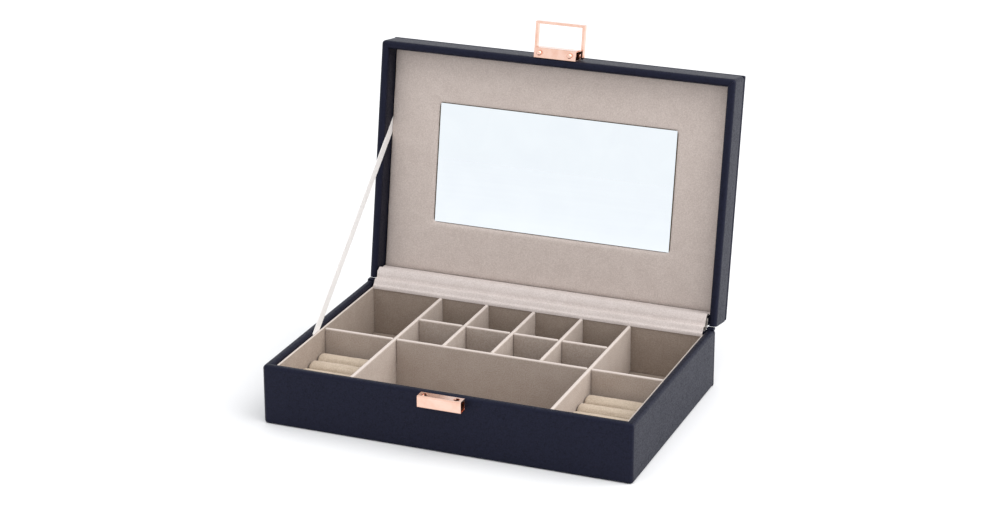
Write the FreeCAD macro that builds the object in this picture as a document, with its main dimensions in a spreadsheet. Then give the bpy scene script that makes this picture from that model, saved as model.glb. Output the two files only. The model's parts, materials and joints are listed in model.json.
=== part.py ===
"""Jewelry gift box: a leather-wrapped case with a velour tray, a mirror lid, a piano hinge and a loop clasp.

Millimetres. +X is the long side, -Y the front, +Z up. The origin is the middle of the underside.
The lid's pieces are laid out as on the closed box and then turned open about the hinge pin.
"""
import FreeCAD, Part
import os
import re

from FreeCAD import Placement, Rotation, Vector

# ---------------------------------------------------------------- driving dimensions
DIMENSIONS = {
    # case
    "width": 280.0,
    "depth": 184.0,
    "base_height": 45.0,
    "lid_height": 27.0,
    "parting_gap": 1.0,
    "wall": 6.0,
    "cover": 3.5,
    "bottom_board": 2.5,
    "bottom_inset": 0.5,
    "back_board": 3.0,
    "rim_round": 1.8,
    "back_rim_drop": 0.5,
    "back_chamfer": 2.0,
    # tray and its dividers
    "tray_gap": 0.5,
    "liner": 1.5,
    "liner_drop": 2.7,
    "divider": 3.0,
    "divider_drop": 3.7,
    "divider_round": 1.3,
    "lap_play": 0.2,
    "cross_pitch": 38.0,
    "long_y": -3.0,
    "row_y": 38.7,
    # ring rolls
    "roll_pitch": 15.3,
    "roll_width": 15.1,
    "roll_height": 21.2,
    "roll_round": 7.4,
    "roll_end_gap": 0.6,
    "roll_count": 5,
    # hinge
    "hinge_out": 0.6,
    "hinge_length": 267.0,
    "knuckle_radius": 1.5,
    "hinge_pin_radius": 0.75,
    "running_play": 0.05,
    "leaf": 0.6,
    "leaf_width": 4.8,
    "leaf_to_pin": 1.6,
    "knuckle_gap": 0.2,
    "knuckle_count": 18,
    "nail_radius": 0.6,
    "nail_head_radius": 1.3,
    "nail_head": 0.3,
    "nail_length": 9.0,
    "nail_pitch": 33.0,
    "open_angle": 99.5,
    # lid filling
    "panel_drop": 14.0,
    "panel_thick": 3.5,
    "panel_gap": 0.6,
    "mirror_width": 189.0,
    "mirror_depth": 91.8,
    "mirror_y": -1.3,
    "mirror_play": 0.3,
    "mirror_thick": 2.0,
    "backing_thick": 2.0,
    # catch and clasp
    "clasp_width": 33.0,
    "clasp_proud": 7.5,
    "sheet": 1.0,
    "back_plate": 0.6,
    "catch_drop": 0.6,
    "catch_height": 9.0,
    "clasp_lift": 0.4,
    "clasp_height": 12.0,
    "clasp_round": 1.2,
    "stud_spacing": 24.0,
    "stud_out": 3.7,
    "stud_radius": 2.0,
    "stud_length": 3.0,
    "stud_dome": 1.6,
    "stud_shank": 1.2,
    "stud_hole_radius": 2.3,
    "rivet_spacing": 14.0,
    "rivet_radius": 1.2,
    "rivet_head_radius": 2.0,
    "rivet_head": 0.8,
    "rivet_length": 5.0,
    "pivot_out": 2.6,
    "pivot_lift": 10.4,
    "barrel_radius": 2.0,
    "pivot_pin_radius": 0.8,
    "frame_width": 38.8,
    "frame_bar": 2.0,
    "frame_reach": 23.7,
    "pin_head": 0.4,
    "pin_head_radius": 1.3,
    # soft strips
    "ribbon_width": 8.0,
    "ribbon_thick": 0.4,
    "ribbon_base_y": -14.0,
    "ribbon_base_z": 44.0,
    "ribbon_lid_y": -25.0,
    "ribbon_lid_z": 60.3,
    "ribbon_tail": 7.0,
    "gusset_width": 265.0,
    "gusset_thick": 0.8,
}

doc = FreeCAD.newDocument("jewelry_gift_box")
sheet = doc.addObject("Spreadsheet::Sheet", "dims")
for row, (alias, value) in enumerate(DIMENSIONS.items(), start=1):
    sheet.set(f"A{row}", alias.replace("_", " "))
    sheet.set(f"B{row}", str(value))
    sheet.setAlias(f"B{row}", alias)
doc.recompute()

# Heights and faces that several pieces share, as formulas over the sheet.
RIM = "base_height"
LID_RIM = "(base_height + parting_gap)"
LID_TOP = "(base_height + parting_gap + lid_height)"
SIDE = "(width / 2)"
FACE = "(depth / 2)"
INNER_X = "(width / 2 - wall)"
INNER_Y = "(depth / 2 - wall)"
BACK_INNER = "(depth / 2 - cover - back_board)"
FLOOR = "(bottom_board + liner + tray_gap)"
LINER_TOP = "(base_height - liner_drop)"
DIVIDER_TOP = "(base_height - divider_drop)"
TRAY_X = "(width / 2 - wall - tray_gap)"
TRAY_FRONT = "(-depth / 2 + wall + tray_gap)"
TRAY_BACK = f"({BACK_INNER} - tray_gap)"
CROSS_X = "(cross_pitch * 2)"
PIN_Y = "(depth / 2 + hinge_out)"
PIN_Z = "(base_height + parting_gap / 2)"
PANEL_Z = f"({LID_RIM} + panel_drop)"
PANEL_BACK = f"({PANEL_Z} + panel_thick)"
CATCH_TOP = "(base_height - catch_drop)"
CLASP_Z = f"({LID_RIM} + clasp_lift)"
PIVOT_Y = "(-depth / 2 - pivot_out)"
PIVOT_Z = f"({LID_RIM} + pivot_lift)"


def bound(formula):
    """The formula with each dimension's name turned into its cell's alias."""
    return re.sub(r"[A-Za-z_]\w*", lambda m: f"dims.{m[0]}" if m[0] in DIMENSIONS else m[0], str(formula))


def number(formula):
    """What a formula comes to, in millimetres."""
    value = sheet.evalExpression(bound(formula))
    return float(getattr(value, "Value", value))


def bind(piece, **formulas):
    """Binds properties of a piece to formulas over the sheet."""
    for prop, formula in formulas.items():
        piece.setExpression(prop.replace("__", "."), bound(formula))
    return piece


def at(piece, x, y, z):
    """Binds a piece's place."""
    return bind(piece, Placement__Base__x=x, Placement__Base__y=y, Placement__Base__z=z)


def span(ends):
    """The distance between two formulas."""
    return f"({ends[1]}) - ({ends[0]})"


def block(name, x, y, z):
    """A box between two formulas on each axis."""
    box = doc.addObject("Part::Box", name)
    bind(box, Length=span(x), Width=span(y), Height=span(z))
    return at(box, x[0], y[0], z[0])


def rod(name, radius, x, y, z):
    """A round bar along X, between the two formulas in x."""
    bar = doc.addObject("Part::Cylinder", name)
    bar.Placement = Placement(Vector(), Rotation(Vector(0, 1, 0), 90))
    bind(bar, Radius=radius, Height=span(x))
    return at(bar, x[0], y, z)


def post(name, radius, x, y, z):
    """A round bar along Z, between the two formulas in z."""
    bar = doc.addObject("Part::Cylinder", name)
    bind(bar, Radius=radius, Height=span(z))
    return at(bar, x, y, z[0])


def peg(name, radius, x, y, z):
    """A round bar along Y, between the two formulas in y."""
    bar = doc.addObject("Part::Cylinder", name)
    bar.Placement = Placement(Vector(), Rotation(Vector(1, 0, 0), -90))
    bind(bar, Radius=radius, Height=span(y))
    return at(bar, x, y[0], z)


def mitred(name, outer, inner, thick, z, origin, turn):
    """A wall board whose long face runs over outer and whose inner face runs over inner."""
    board = doc.addObject("Part::Wedge", name)
    board.Placement = Placement(Vector(), Rotation(Vector(0, 0, 1), turn))
    bind(board, Xmin=outer[0], Xmax=outer[1], X2min=inner[0], X2max=inner[1], Ymin="0", Ymax=thick)
    bind(board, Zmin="0", Zmax=span(z), Z2min="0", Z2max=span(z))
    return at(board, origin[0], origin[1], z[0])


def joined(name, *pieces):
    """One solid made of several."""
    fuse = doc.addObject("Part::MultiFuse", name)
    fuse.Shapes = list(pieces)
    return fuse


def grouped(name, *pieces):
    """Separate solids that share a node."""
    group = doc.addObject("Part::Compound", name)
    group.Links = list(pieces)
    return group


def drilled(name, base, *tools):
    """The base with each tool taken away."""
    cut = doc.addObject("Part::Cut", name)
    cut.Base = base
    cut.Tool = tools[0] if len(tools) == 1 else joined(name + "_tools", *tools)
    return cut


def rounded(name, base, radius, chosen, kind="Part::Fillet"):
    """The base with the chosen edges rounded, or bevelled, by a dimension of the sheet."""
    doc.recompute()
    edges = [i for i, edge in enumerate(base.Shape.Edges, start=1) if chosen(edge)]
    if not edges:
        raise RuntimeError(f"{name}: no edge to round")
    soft = doc.addObject(kind, name)
    soft.Base = base
    size = number(radius)
    soft.Edges = [(i, size, size) for i in edges]
    return soft


def lies(edge, axis, **where):
    """Whether an edge runs along the axis and lies at the given coordinates."""
    box = edge.BoundBox
    spans = {"x": box.XLength, "y": box.YLength, "z": box.ZLength}
    middles = {"x": box.Center.x, "y": box.Center.y, "z": box.Center.z}
    straight = all((span > 1.0) if name == axis else (span < 1e-6) for name, span in spans.items())
    return straight and all(abs(middles[name] - value) < 1e-4 for name, value in where.items())


LID_OPEN = Placement(
    Vector(), Rotation(Vector(1, 0, 0), -number("open_angle")), Vector(0, number(PIN_Y), number(PIN_Z))
)
nodes = []


def finish(piece, node, place=None):
    """Names a finished sub-part and, for one that is laid out closed, turns it open."""
    piece.Label = node
    if place is not None:
        piece.Placement = place
    nodes.append(piece)


# ---------------------------------------------------------------- case of the base
def base_case():
    """Bottom board, four wall boards and the back cover."""
    z = ("bottom_board", RIM)
    edge_x, edge_y = f"({SIDE} - bottom_inset)", f"({FACE} - bottom_inset)"
    board = block("bottom_blank", (f"-{edge_x}", edge_x), (f"-{edge_y}", edge_y), ("0", "bottom_board"))
    finish(rounded("bottom", board, "0.8", lambda e: lies(e, "z")), "base_bottom_board")

    top = number(RIM)
    front = mitred(
        "front_blank", ("0", "width"), ("wall", "width - wall"), "wall", z, (f"-{SIDE}", f"-{FACE}"), 0
    )
    finish(rounded("front", front, "rim_round", lambda e: lies(e, "x", z=top)), "base_front_wall")

    length = "depth - cover"
    left = mitred("left_blank", ("0", length), ("0", f"{length} - wall"), "wall", z,
                  (f"-{SIDE}", f"{FACE} - cover"), -90)
    finish(rounded("left", left, "rim_round", lambda e: lies(e, "y", z=top)), "base_left_wall")
    right = mitred("right_blank", ("0", length), ("wall", length), "wall", z, (SIDE, f"-{FACE}"), 90)
    finish(rounded("right", right, "rim_round", lambda e: lies(e, "y", z=top)), "base_right_wall")

    back_z = ("bottom_board", f"{RIM} - back_rim_drop")
    back = block("back_board_blank", (f"-{INNER_X}", INNER_X), (BACK_INNER, f"{FACE} - cover"), back_z)
    finish(rounded("back", back, "0.8", lambda e: lies(e, "x", y=number(BACK_INNER), z=number(back_z[1]))),
           "base_back_wall")
    cover = block("back_cover_blank", (f"-{SIDE}", SIDE), (f"{FACE} - cover", FACE), back_z)
    finish(
        rounded("back_cover", cover, "back_chamfer",
                lambda e: lies(e, "x", y=number(FACE), z=number(back_z[1])), "Part::Chamfer"),
        "base_back_cover",
    )


# ---------------------------------------------------------------- tray
def tray():
    """The tray's floor and the four liner boards that stand on it."""
    floor_z = ("(bottom_board + tray_gap)", FLOOR)
    finish(block("floor", (f"-{TRAY_X}", TRAY_X), (TRAY_FRONT, TRAY_BACK), floor_z), "tray_floor")
    z = (FLOOR, LINER_TOP)
    across, inner = (f"-{TRAY_X}", TRAY_X), (f"{TRAY_FRONT} + liner", f"{TRAY_BACK} - liner")
    finish(block("front_liner", across, (TRAY_FRONT, inner[0]), z), "tray_front_liner")
    finish(block("back_liner", across, (inner[1], TRAY_BACK), z), "tray_back_liner")
    finish(block("left_liner", (f"-{TRAY_X}", f"-{TRAY_X} + liner"), inner, z), "tray_left_liner")
    finish(block("right_liner", (f"{TRAY_X} - liner", TRAY_X), inner, z), "tray_right_liner")


def divider(node, x, y, slots, slot_from_top):
    """A divider board with a rounded top and half-lap slots where others cross it.

    x and y are its spans, and slots are the crossing boards' middles along its length.
    """
    along_x = number(span(x)) > number(span(y))
    z = (FLOOR, DIVIDER_TOP)
    board = block(node + "_blank", x, y, z)
    axis = "x" if along_x else "y"
    piece = rounded(node + "_soft", board, "divider_round", lambda e: lies(e, axis, z=number(DIVIDER_TOP)))
    middle = f"(({FLOOR}) + ({DIVIDER_TOP})) / 2"
    slot_z = (middle, f"{DIVIDER_TOP} + 1") if slot_from_top else (f"{FLOOR} - 1", middle)
    half = "(divider + lap_play) / 2"
    cutters = []
    for i, where in enumerate(slots):
        slot = (f"{where} - {half}", f"{where} + {half}")
        wide_x, wide_y = (f"{x[0]} - 1", f"{x[1]} + 1"), (f"{y[0]} - 1", f"{y[1]} + 1")
        cutters.append(block(f"{node}_slot_{i}", slot if along_x else wide_x, wide_y if along_x else slot, slot_z))
    finish(drilled(node + "_slotted", piece, *cutters) if cutters else piece, node)


def dividers():
    """The long divider, the two cross dividers, the row divider and the three short ones."""
    inner_x = f"({TRAY_X} - liner)"
    inner_y = (f"({TRAY_FRONT} + liner)", f"({TRAY_BACK} - liner)")
    long_y = ("(long_y - divider / 2)", "(long_y + divider / 2)")
    row_y = ("(row_y - divider / 2)", "(row_y + divider / 2)")
    divider("long_divider", (f"-{inner_x}", inner_x), long_y, [f"-{CROSS_X}", CROSS_X], True)
    for side, sign in (("left", "-"), ("right", "")):
        x = (f"({sign}{CROSS_X} - divider / 2)", f"({sign}{CROSS_X} + divider / 2)")
        divider(f"cross_divider_{side}", x, inner_y, ["long_y"], False)
    reach = f"({CROSS_X} - divider / 2)"
    divider("row_divider", (f"-{reach}", reach), row_y, ["-cross_pitch", "0", "cross_pitch"], True)
    for i, x in enumerate(("-cross_pitch", "0", "cross_pitch"), start=1):
        across = (f"({x} - divider / 2)", f"({x} + divider / 2)")
        divider(f"short_divider_{i}", across, (long_y[1], inner_y[1]), ["row_y"], False)


def ring_rolls():
    """Two sets of upright foam rolls that hold rings between them, one in each front corner."""
    start = f"({TRAY_FRONT} + liner + roll_pitch / 2)"
    near = f"({CROSS_X} + divider / 2 + roll_end_gap)"
    far = f"({TRAY_X} - liner - roll_end_gap)"
    for side, x in (("left", (f"-{far}", f"-{near}")), ("right", (near, far))):
        for i in range(int(DIMENSIONS["roll_count"])):
            middle = f"({start} + roll_pitch * {i})"
            y = (f"({middle} - roll_width / 2)", f"({middle} + roll_width / 2)")
            blank = block(f"roll_blank_{side}_{i}", x, y, (FLOOR, f"({FLOOR} + roll_height)"))
            soft = rounded(f"roll_{side}_{i}", blank, "roll_round", lambda e: lies(e, "x"))
            finish(soft, f"ring_roll_{side}_{i + 1}")


# ---------------------------------------------------------------- lid
def lid_case():
    """The lid's top cover and four mitred wall boards."""
    z = (LID_RIM, f"({LID_TOP} - cover)")
    rim = number(LID_RIM)
    cover = block("top_blank", (f"-{SIDE}", SIDE), (f"-{FACE}", FACE), (f"({LID_TOP} - cover)", LID_TOP))
    finish(rounded("top", cover, "1.2", lambda e: lies(e, "z") or e.BoundBox.ZMin > number(LID_TOP) - 1e-4),
           "lid_top_cover", LID_OPEN)
    long_run, long_in = ("0", "width"), ("wall", "width - wall")
    short_run, short_in = ("0", "depth"), ("wall", "depth - wall")
    for node, run, inner, corner, turn, axis in (
        ("lid_front_wall", long_run, long_in, (f"-{SIDE}", f"-{FACE}"), 0, "x"),
        ("lid_right_wall", short_run, short_in, (SIDE, f"-{FACE}"), 90, "y"),
        ("lid_left_wall", short_run, short_in, (f"-{SIDE}", FACE), -90, "y"),
    ):
        board = mitred(node + "_blank", run, inner, "wall", z, corner, turn)
        soft = rounded(node + "_soft", board, "rim_round", lambda e, axis=axis: lies(e, axis, z=rim))
        finish(soft, node, LID_OPEN)
    back_z = (f"({LID_RIM} + back_rim_drop)", z[1])
    board = mitred("lid_back_blank", long_run, long_in, "wall", back_z, (SIDE, FACE), 180)
    bevel = rounded("lid_back", board, "back_chamfer",
                    lambda e: lies(e, "x", y=number(FACE), z=number(back_z[0])), "Part::Chamfer")
    finish(bevel, "lid_back_wall", LID_OPEN)


def lid_filling():
    """Core board, mirror backing, mirror and the padded velour panel with its window."""
    x, y = f"({INNER_X} - panel_gap)", f"({INNER_Y} - panel_gap)"
    wide, deep = (f"-{x}", x), (f"-{y}", y)
    backing_top = f"({PANEL_BACK} + backing_thick)"
    for name, node, z in (
        ("core", "lid_core_board", (backing_top, f"({LID_TOP} - cover)")),
        ("backing", "mirror_backing", (PANEL_BACK, backing_top)),
    ):
        board = block(name + "_blank", wide, deep, z)
        finish(rounded(name, board, "0.8", lambda e: lies(e, "z")), node, LID_OPEN)
    half_x, half_y = "(mirror_width / 2)", "(mirror_depth / 2)"
    glass = block("glass", (f"-{half_x}", half_x), (f"(mirror_y - {half_y})", f"(mirror_y + {half_y})"),
                  (f"({PANEL_BACK} - mirror_thick)", PANEL_BACK))
    finish(rounded("glass_soft", glass, "0.4", lambda e: lies(e, "z")), "mirror", LID_OPEN)
    window = block(
        "panel_window", (f"(-{half_x} - mirror_play)", f"({half_x} + mirror_play)"),
        (f"(mirror_y - {half_y} - mirror_play)", f"(mirror_y + {half_y} + mirror_play)"),
        (f"({PANEL_Z} - 1)", f"({PANEL_BACK} + 1)"),
    )
    pad = rounded("panel_soft", block("panel_blank", wide, deep, (PANEL_Z, PANEL_BACK)), "1.6",
                  lambda e: e.BoundBox.ZMax < number(PANEL_Z) + 1e-4)
    finish(drilled("panel", pad, window), "padded_panel", LID_OPEN)


# ---------------------------------------------------------------- hinge
NAILS = (-3.5, -2.5, -1.5, -0.5, 0.5, 1.5, 2.5, 3.5)
NAIL_Y = f"({FACE} - cover - back_board / 2)"


def leaf(node, first, z, place):
    """A piano hinge leaf: a strip with every second knuckle, bored for the pin, with nail holes."""
    reach = (f"({PIN_Y} - leaf_to_pin - leaf_width)", f"({PIN_Y} - leaf_to_pin)")
    half = "(hinge_length / 2)"
    parts = [block(node + "_strip", (f"-{half}", half), reach, z)]
    pitch = "(hinge_length / knuckle_count)"
    for i in range(first, int(DIMENSIONS["knuckle_count"]), 2):
        x = (f"(-{half} + {pitch} * {i} + knuckle_gap / 2)", f"(-{half} + {pitch} * {i + 1} - knuckle_gap / 2)")
        parts.append(block(f"{node}_web_{i}", x, (reach[1], PIN_Y), z))
        parts.append(rod(f"{node}_knuckle_{i}", "knuckle_radius", x, PIN_Y, PIN_Z))
    bore = rod(node + "_bore", "(hinge_pin_radius + running_play)", (f"(-{half} - 1)", f"({half} + 1)"),
               PIN_Y, PIN_Z)
    holes = [
        post(f"{node}_hole_{i}", "nail_radius", f"(nail_pitch * {i})", NAIL_Y, (f"({z[0]} - 1)", f"({z[1]} + 1)"))
        for i in NAILS
    ]
    finish(drilled(node + "_bored", joined(node + "_solid", *parts), bore, *holes), node, place)


def hinge():
    """Two leaves, the pin, and the nails that hold the leaves to the back walls."""
    base_z = (f"({RIM} - back_rim_drop)", f"({RIM} - back_rim_drop + leaf)")
    lid_z = (f"({LID_RIM} + back_rim_drop - leaf)", f"({LID_RIM} + back_rim_drop)")
    leaf("hinge_base_leaf", 0, base_z, None)
    leaf("hinge_lid_leaf", 1, lid_z, LID_OPEN)
    half = "(hinge_length / 2)"
    finish(rod("pin", "hinge_pin_radius", (f"-{half}", half), PIN_Y, PIN_Z), "hinge_pin")
    sets = (
        ("hinge_base_nails", (f"({base_z[1]} - nail_length)", base_z[1]),
         (base_z[1], f"({base_z[1]} + nail_head)"), None),
        ("hinge_lid_nails", (lid_z[0], f"({lid_z[0]} + nail_length)"),
         (f"({lid_z[0]} - nail_head)", lid_z[0]), LID_OPEN),
    )
    for node, shank, head, place in sets:
        nails = [
            joined(f"{node}_{k}", post(f"{node}_shank_{k}", "nail_radius", f"(nail_pitch * {i})", NAIL_Y, shank),
                   post(f"{node}_head_{k}", "nail_head_radius", f"(nail_pitch * {i})", NAIL_Y, head))
            for k, i in enumerate(NAILS)
        ]
        finish(grouped(node + "_set", *nails), node, place)


# ---------------------------------------------------------------- catch and clasp
CLASP_X = ("(-clasp_width / 2)", "(clasp_width / 2)")
CLASP_FRONT = f"(-{FACE} - clasp_proud)"
STUD_Y = f"(-{FACE} - stud_out)"
STUD_X = ("(-stud_spacing / 2)", "(stud_spacing / 2)")


RIVET_X = ("(-rivet_spacing / 2)", "(rivet_spacing / 2)")
RIVET_FACE = f"(-{FACE} - back_plate)"


def rivets(node, z, place=None):
    """Two rivets that hold a back plate to a wall board."""
    shank, head = (RIVET_FACE, f"({RIVET_FACE} + rivet_length)"), (f"({RIVET_FACE} - rivet_head)", RIVET_FACE)
    made = [
        joined(f"{node}_{i}", peg(f"{node}_shank_{i}", "rivet_radius", x, shank, z),
               peg(f"{node}_head_{i}", "rivet_head_radius", x, head, z))
        for i, x in enumerate(RIVET_X)
    ]
    finish(grouped(node + "_set", *made), node, place)


def rivet_holes(name, z):
    """The holes that the rivets fill in a back plate."""
    through = (f"({RIVET_FACE} - 0.5)", f"(-{FACE} + 1)")
    return [peg(f"{name}_rivet_hole_{i}", "rivet_radius", x, through, z) for i, x in enumerate(RIVET_X)]


def catch():
    """The base's catch: a folded sheet channel, open at both ends, with two holes in its top."""
    z = (f"({CATCH_TOP} - catch_height)", CATCH_TOP)
    blank = block("catch_blank", CLASP_X, (CLASP_FRONT, f"-{FACE}"), z)
    soft = rounded("catch_soft", blank, "clasp_round", lambda e: lies(e, "x", y=number(CLASP_FRONT)))
    hollow = block("catch_hollow", (f"({CLASP_X[0]} - 1)", f"({CLASP_X[1]} + 1)"),
                   (f"({CLASP_FRONT} + sheet)", f"(-{FACE} - back_plate)"),
                   (f"({z[0]} + sheet)", f"({z[1]} - sheet)"))
    holes = [post(f"catch_hole_{i}", "stud_hole_radius", x, STUD_Y, (f"({z[1]} - 2 * sheet)", f"({z[1]} + 1)"))
             for i, x in enumerate(STUD_X)]
    rivet_z = f"({z[0]} + catch_height / 2)"
    finish(drilled("catch", soft, hollow, *holes, *rivet_holes("catch", rivet_z)), "catch_channel")
    rivets("catch_rivets", rivet_z)


def clasp():
    """The lid's channel with its studs, rivets and pivot pin, and the loop frame that swings on it."""
    z = (CLASP_Z, f"({CLASP_Z} + clasp_height)")
    ends = (f"({CLASP_X[0]} - 1)", f"({CLASP_X[1]} + 1)")
    blank = block("channel_blank", CLASP_X, (CLASP_FRONT, f"-{FACE}"), z)
    soft = rounded("channel_soft", blank, "clasp_round", lambda e: lies(e, "x", y=number(CLASP_FRONT)))
    hollow = block("channel_hollow", ends, (f"({CLASP_FRONT} + sheet)", f"(-{FACE} - back_plate)"),
                   (f"({z[0]} + sheet)", f"({z[1]} - sheet)"))
    shell = drilled("channel_shell", soft, hollow)
    barrel = rod("channel_barrel", "barrel_radius", CLASP_X, PIVOT_Y, PIVOT_Z)
    bore = rod("channel_bore", "(pivot_pin_radius + running_play)", ends, PIVOT_Y, PIVOT_Z)
    holes = [post(f"channel_hole_{i}", "stud_shank", x, STUD_Y, (f"({z[0]} - 1)", f"({z[0]} + 2 * sheet)"))
             for i, x in enumerate(STUD_X)]
    rivet_z = f"({z[0]} + sheet + 3)"
    holes += rivet_holes("channel", rivet_z)
    finish(drilled("channel", joined("channel_solid", shell, barrel), bore, *holes), "clasp_channel", LID_OPEN)
    rivets("clasp_rivets", rivet_z, LID_OPEN)

    studs = []
    tip = number(f"({z[0]} - stud_length)")
    for i, x in enumerate(STUD_X):
        head = post(f"stud_head_{i}", "stud_radius", x, STUD_Y, (f"({z[0]} - stud_length)", z[0]))
        dome = rounded(f"stud_dome_{i}", head, "stud_dome", lambda e: abs(e.BoundBox.ZMax - tip) < 1e-4)
        shank = post(f"stud_shank_{i}", "stud_shank", x, STUD_Y, (z[0], f"({z[0]} + sheet)"))
        tail = post(f"stud_tail_{i}", "(stud_radius - 0.2)", x, STUD_Y,
                    (f"({z[0]} + sheet)", f"({z[0]} + sheet + 0.6)"))
        studs.append(joined(f"stud_{i}", dome, shank, tail))
    finish(grouped("studs", *studs), "clasp_studs", LID_OPEN)

    half = "(frame_width / 2)"
    axle = rod("axle", "pivot_pin_radius", (f"-{half}", half), PIVOT_Y, PIVOT_Z)
    heads = [rod("axle_head_0", "pin_head_radius", (f"(-{half} - pin_head)", f"-{half}"), PIVOT_Y, PIVOT_Z),
             rod("axle_head_1", "pin_head_radius", (half, f"({half} + pin_head)"), PIVOT_Y, PIVOT_Z)]
    finish(joined("axle_pin", axle, *heads), "clasp_pin", LID_OPEN)

    bar_z = (f"({PIVOT_Z} - barrel_radius)", f"({PIVOT_Z} + barrel_radius)")
    plate = block("frame_blank", (f"-{half}", half), (f"({PIVOT_Y} - frame_reach)", PIVOT_Y), bar_z)
    eyes = rod("frame_eyes", "barrel_radius", (f"-{half}", half), PIVOT_Y, PIVOT_Z)
    inner = f"({half} - frame_bar)"
    window = block("frame_window", (f"-{inner}", inner),
                   (f"({PIVOT_Y} - frame_reach + frame_bar)", f"({PIVOT_Y} + 2 * barrel_radius)"),
                   (f"({bar_z[0]} - 1)", f"({bar_z[1]} + 1)"))
    bore = rod("frame_bore", "(pivot_pin_radius + running_play)", (f"(-{half} - 1)", f"({half} + 1)"),
               PIVOT_Y, PIVOT_Z)
    outer_x = number(half)
    far_y = number(f"{PIVOT_Y} - frame_reach")
    blank = rounded("frame_soft", joined("frame_solid", plate, eyes), "0.8",
                    lambda e: lies(e, "z", y=far_y) and abs(abs(e.BoundBox.Center.x) - outer_x) < 1e-4)
    finish(drilled("frame", blank, window, bore), "clasp_frame", LID_OPEN)


# ---------------------------------------------------------------- ribbon and gusset
def opened(y, z):
    """Where a point of the closed lid lies when the lid stands open."""
    point = LID_OPEN.multVec(Vector(0, number(y), number(z)))
    return Vector(0, point.y, point.z)


def stay_ribbon():
    """The taut satin ribbon at the left side, from beside the tray to beside the padded panel."""
    low = Vector(0, number("ribbon_base_y"), number("ribbon_base_z"))
    high = opened("ribbon_lid_y", "ribbon_lid_z")
    run = (high - low).normalize()
    tail = number("ribbon_tail")
    low, high = low - run * tail, high + run * tail
    strip = doc.addObject("Part::Box", "ribbon_strip")
    bind(strip, Length="ribbon_thick", Width="ribbon_width")
    strip.Height = (high - low).Length
    across = Vector(1, 0, 0)
    turn = Rotation(across, run.cross(across) * -1, run, "ZXY")
    corner = low + Vector(number(f"-{INNER_X} + (tray_gap - ribbon_thick) / 2"), 0, 0)
    corner = corner - turn.multVec(Vector(0, number("ribbon_width") / 2, 0))
    finish(strip, "stay_ribbon", Placement(corner, turn))


def hinge_gusset():
    """The velour strip over the hinge, in soft ridges from the tray's back liner to the padded panel.

    It has no feature that fits it, so its section is drawn here: a smooth line and its offset.
    """
    rise = number("gusset_thick")
    pin = Vector(0, number(PIN_Y), number(PIN_Z))
    leaf_top = number(f"{RIM} - back_rim_drop + leaf + nail_head")
    middle = [
        Vector(0, number(TRAY_BACK) - 0.4, number(LINER_TOP) + 0.8),
        Vector(0, number(BACK_INNER) - 0.2, leaf_top + 0.4),
        Vector(0, number(BACK_INNER) + 1.6, leaf_top + 2.0),
        Vector(0, pin.y - 3.2, leaf_top + 1.4),
        Vector(0, pin.y - 1.7, leaf_top + 3.0),
        Vector(0, pin.y - 1.2, leaf_top + 5.0),
        opened(f"{INNER_Y} - 1.6", f"{LID_RIM} - 0.6"),
        opened(f"{INNER_Y} - 1.6", f"{LID_RIM} + 3.0"),
        opened(f"{INNER_Y} - 0.8", f"{LID_RIM} + 6.0"),
        opened(f"{INNER_Y} - 1.6", f"{LID_RIM} + 9.5"),
        opened(f"{INNER_Y} - 0.8", f"{PANEL_Z} - 0.6"),
    ]
    line = Part.BSplineCurve()
    line.interpolate(middle)
    count = 40
    near, far = [], []
    for i in range(count + 1):
        where = line.FirstParameter + (line.LastParameter - line.FirstParameter) * i / count
        along = line.tangent(where)[0]
        side = Vector(1, 0, 0).cross(along) * (rise / 2)
        near.append(line.value(where) + side)
        far.append(line.value(where) - side)
    outline = Part.makePolygon([*near, *reversed(far), near[0]])
    width = number("gusset_width")
    strip = doc.addObject("Part::Feature", "gusset")
    strip.Shape = Part.Face(outline).extrude(Vector(width, 0, 0))
    finish(strip, "hinge_gusset", Placement(Vector(-width / 2, 0, 0), Rotation()))


def export():
    """Checks every object and writes one file for each sub-part."""
    doc.recompute()
    failed = [o.Name for o in doc.Objects if {"Invalid", "Error"} & set(o.State)]
    if failed:
        raise RuntimeError(f"failed objects: {failed}")
    os.makedirs("parts", exist_ok=True)
    for piece in nodes:
        if piece.Shape.isNull() or not piece.Shape.isValid() or not piece.Shape.Solids:
            raise RuntimeError(f"{piece.Label}: bad shape")
        piece.Shape.exportStep(os.path.join("parts", f"{piece.Label}.step"))
    print(len(nodes), "sub-parts written")


base_case()
tray()
dividers()
ring_rolls()
lid_case()
lid_filling()
hinge()
catch()
clasp()
stay_ribbon()
hinge_gusset()
export()
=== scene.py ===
"""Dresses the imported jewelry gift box: wrapped boards, velour tray, mirror lid, hinge, clasp and ribbon."""
from __future__ import annotations

import json
import logging
import math
from dataclasses import dataclass
from enum import Enum
from typing import Any, Callable, Sequence

import bmesh
import bpy
from mathutils import Matrix, Vector


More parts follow.
